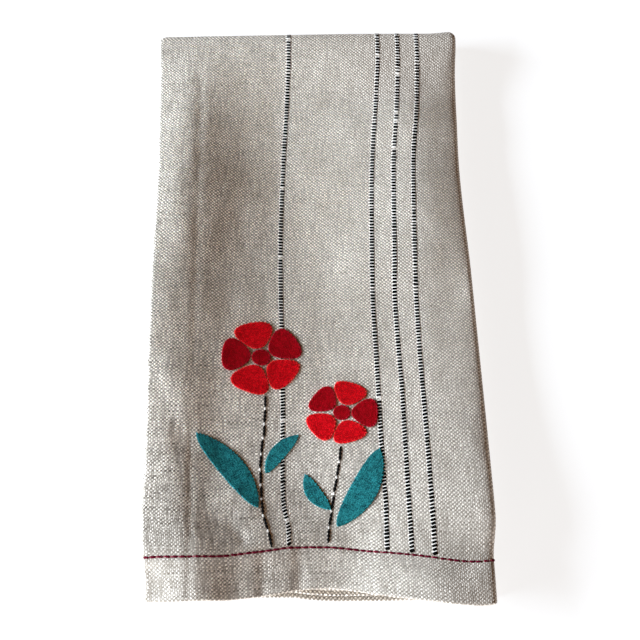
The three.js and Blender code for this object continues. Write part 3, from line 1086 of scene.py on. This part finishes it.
# %% All the flowers and leaves
PETAL_FILL, HEART_FILL, LEAF_FILL = 0.8, 0.78, 0.7
HEART_CUT, LEAF_CUT = 10.4, 10  # least width and length of the cloth before its edge is turned
cuts = {"red": [], "crimson": [], "teal": []}


def cut_and_sew(name, colour, fill, least, **shape):
    cut = CutShape(seed=1 + sum(len(made) for made in cuts.values()), **shape)
    cuts[colour].append(cut)
    sewn_piece(name, cut, colour)


for name, x, y, radius, heart, turn in FLOWERS:
    centre = Vector((x, y))
    for number, (petal_turn, long, width, colour) in enumerate(PETALS, 1):
        angle = math.radians(90 + turn + petal_turn)
        way = Vector((math.cos(angle), math.sin(angle)))
        cut_and_sew(
            f"petal_{name}_{number}", colour, PETAL_FILL, 0,
            base=centre + way * (heart + HEART_GAP), tip=centre + way * radius * long,
            wide=radius * PETAL_WIDE * width, pointed=0.8, belly=0.42,
        )
    up = Vector((0, heart))
    cut_and_sew(
        f"heart_{name}", "crimson", HEART_FILL, HEART_CUT,
        base=centre - up, tip=centre + up, wide=2 * heart,
    )
for name, x0, y0, x1, y1, bow, wide in LEAVES:
    cut_and_sew(
        name, "teal", LEAF_FILL, LEAF_CUT,
        base=(x0, y0), tip=(x1, y1), wide=wide, bow=bow, pointed=1.4,
    )
print({colour: len(shapes) for colour, shapes in cuts.items()}, "sewn pieces")

# %% [markdown]
# ## Sewing thread round the pieces
# Each piece is held by small stitches over its rim, in thread of its own colour. They are too
# small to see one by one from afar, but they make the outline lively and give it the sewn
# look that a bare edge lacks. A stitch is the same short bar as before, set across the rim.

# %% Stitches over the rims
RIM_STEP = 2.1
RIM_IN, RIM_LIFT = 0.3, 0.32  # how far inside the rim a stitch lies, and how high
RIM_TRY = 0.02  # a small step round the rim, in radians
UP = Vector((0, 0, 1))


def rim_stitches(colour, dark, light):
    chance = random.Random(len(cuts[colour]))
    bar = short_bar(0.25)
    bm = bmesh.new()
    for cut in cuts[colour]:
        turn = 0
        while turn < 2 * math.pi:
            rim = cut.spot(math.cos(turn), math.sin(turn))
            ahead = cut.spot(math.cos(turn + RIM_TRY), math.sin(turn + RIM_TRY)) - rim
            inward = Vector((-ahead.y, ahead.x, 0)).normalized()
            if inward.xy.dot(cut.base + cut.axis / 2 - rim) < 0:
                inward.negate()
            spot = Vector((*rim, 0)) + inward * RIM_IN
            spot.z = face_top(spot.x, spot.y)
            size = (chance.uniform(0.9, 1.3), 0.42, 0.3)
            lean = chance.gauss(0.35, 0.15)
            stamp(bm, bar, spot, inward, UP.cross(inward), lean, RIM_LIFT, size)
            turn += RIM_TRY * RIM_STEP * chance.uniform(0.8, 1.2) / max(ahead.length, 0.01)
    return finished(colour + "_rim_stitches", bm, thread(colour + "_thread", dark, light))


rim_threads = [
    rim_stitches("red", (0.62, 0.01, 0.012, 1), (1.0, 0.09, 0.07, 1)),
    rim_stitches("crimson", (0.22, 0.002, 0.01, 1), (0.62, 0.03, 0.06, 1)),
    rim_stitches("teal", (0.005, 0.09, 0.11, 1), (0.06, 0.42, 0.45, 1)),
]

# %% [markdown]
# ## Stems
# The stems are running stitches of thick black thread, two plies twisted together, six to
# eight millimetres long with a little linen pushed up between them. A painted line would
# lose the twist. One ply is a circle spun along a screw, two of them make a stitch, and each
# stitch is set on the cloth with its ends pulled down into it.

# %% One twisted stitch
PLY_RADIUS, PLY_OUT = 0.27, 0.24  # parts of the stitch's width, which is 1
SPIN_STEPS, SPIN_TURN = 24, 700  # the twist, in degrees
END_NARROW, END_SINK = 0.35, 0.4


def twisted_stitch():
    """A stitch of unit length along x and unit width, of two plies in two turns."""
    bm = bmesh.new()
    for ply in (0, math.pi):
        upright = Matrix.Rotation(math.pi / 2, 4, "Y")
        made = bmesh.ops.create_circle(bm, radius=PLY_RADIUS, segments=6, matrix=upright)
        ring = made["verts"]
        out = (-0.5, PLY_OUT * math.cos(ply), PLY_OUT * math.sin(ply))
        bmesh.ops.translate(bm, verts=ring, vec=out)
        bmesh.ops.spin(
            bm, geom=list({edge for vert in ring for edge in vert.link_edges}),
            cent=(0, 0, 0), axis=(1, 0, 0), dvec=(1 / SPIN_STEPS, 0, 0),
            angle=math.radians(SPIN_TURN), steps=SPIN_STEPS,
        )
    bmesh.ops.holes_fill(bm, edges=[edge for edge in bm.edges if edge.is_boundary], sides=8)
    for vert in bm.verts:
        end = abs(2 * vert.co.x)
        vert.co.y *= 1 - END_NARROW * end ** 6
        vert.co.z = vert.co.z * (1 - END_NARROW * end ** 6) - END_SINK * end ** 8
    bmesh.ops.recalc_face_normals(bm, faces=bm.faces[:])
    return smooth_mesh("twisted_stitch", bm)


print("a ply turns", round(SPIN_TURN / 360, 1), "times")

# %% Stems
STITCH_WIDE, STITCH_HIGH, STITCH_LIFT = 1.6, 0.52, 0.06
PUFF_WIDE, PUFF_HIGH, PUFF_LIFT = 1.2, 0.46, 0.02
STEM_END = 4  # how far from the lowest point the last stitch may start
# y, x of each stem from the hem up
STEMS = {
    "upper": [(-146, -22.5), (-124, -27.0), (-102, -27.8), (-80, -25.8), (-62, -25.0)],
    "lower": [(-146, 4.0), (-124, 6.6), (-108, 9.4), (-91, 12.0)],
}


def stems():
    chance = random.Random(3)
    stitch = twisted_stitch()
    puff = short_bar(0.3)
    bm, puffs = bmesh.new(), bmesh.new()
    for stem in STEMS.values():
        y = stem[-1][0]
        lowest = stem[0][0] + STEM_END
        while y > lowest:
            long = chance.uniform(6.0, 8.2)
            top = Vector((along(stem, y), y, 0))
            low = Vector((along(stem, y - long), y - long, 0))
            for end in (top, low):
                end.x += chance.gauss(0, 0.12)
                end.z = face_top(end.x, end.y)
            lengthwise = low - top
            middle = (top + low) / 2
            middle.z = face_top(middle.x, middle.y)
            side = UP.cross(lengthwise)
            size = (lengthwise.length + 0.2, STITCH_WIDE, STITCH_HIGH)
            stamp(bm, stitch, middle, lengthwise, side, 0, STITCH_LIFT, size)
            gap = chance.uniform(0.9, 1.4)
            if y - long - gap > lowest:
                puff_y = y - long - gap / 2
                puff_x = along(stem, puff_y)
                spot = Vector((puff_x, puff_y, face_top(puff_x, puff_y)))
                size = (gap + 0.4, PUFF_WIDE, PUFF_HIGH)
                stamp(puffs, puff, spot, lengthwise, side, 0, PUFF_LIFT, size)
            y -= long + gap
    black = thread("black_thread", (0.002, 0.002, 0.002, 1), (0.012, 0.011, 0.011, 1))
    raised = thread("raised_linen", (0.44, 0.40, 0.35, 1), (0.70, 0.66, 0.60, 1))
    return finished("stem_stitches", bm, black), finished("stem_gaps", puffs, raised)


stem_stitches, stem_gaps = stems()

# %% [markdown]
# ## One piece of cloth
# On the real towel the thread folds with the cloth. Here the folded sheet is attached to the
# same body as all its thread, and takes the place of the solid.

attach(towel_cloth, "root")
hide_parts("towel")
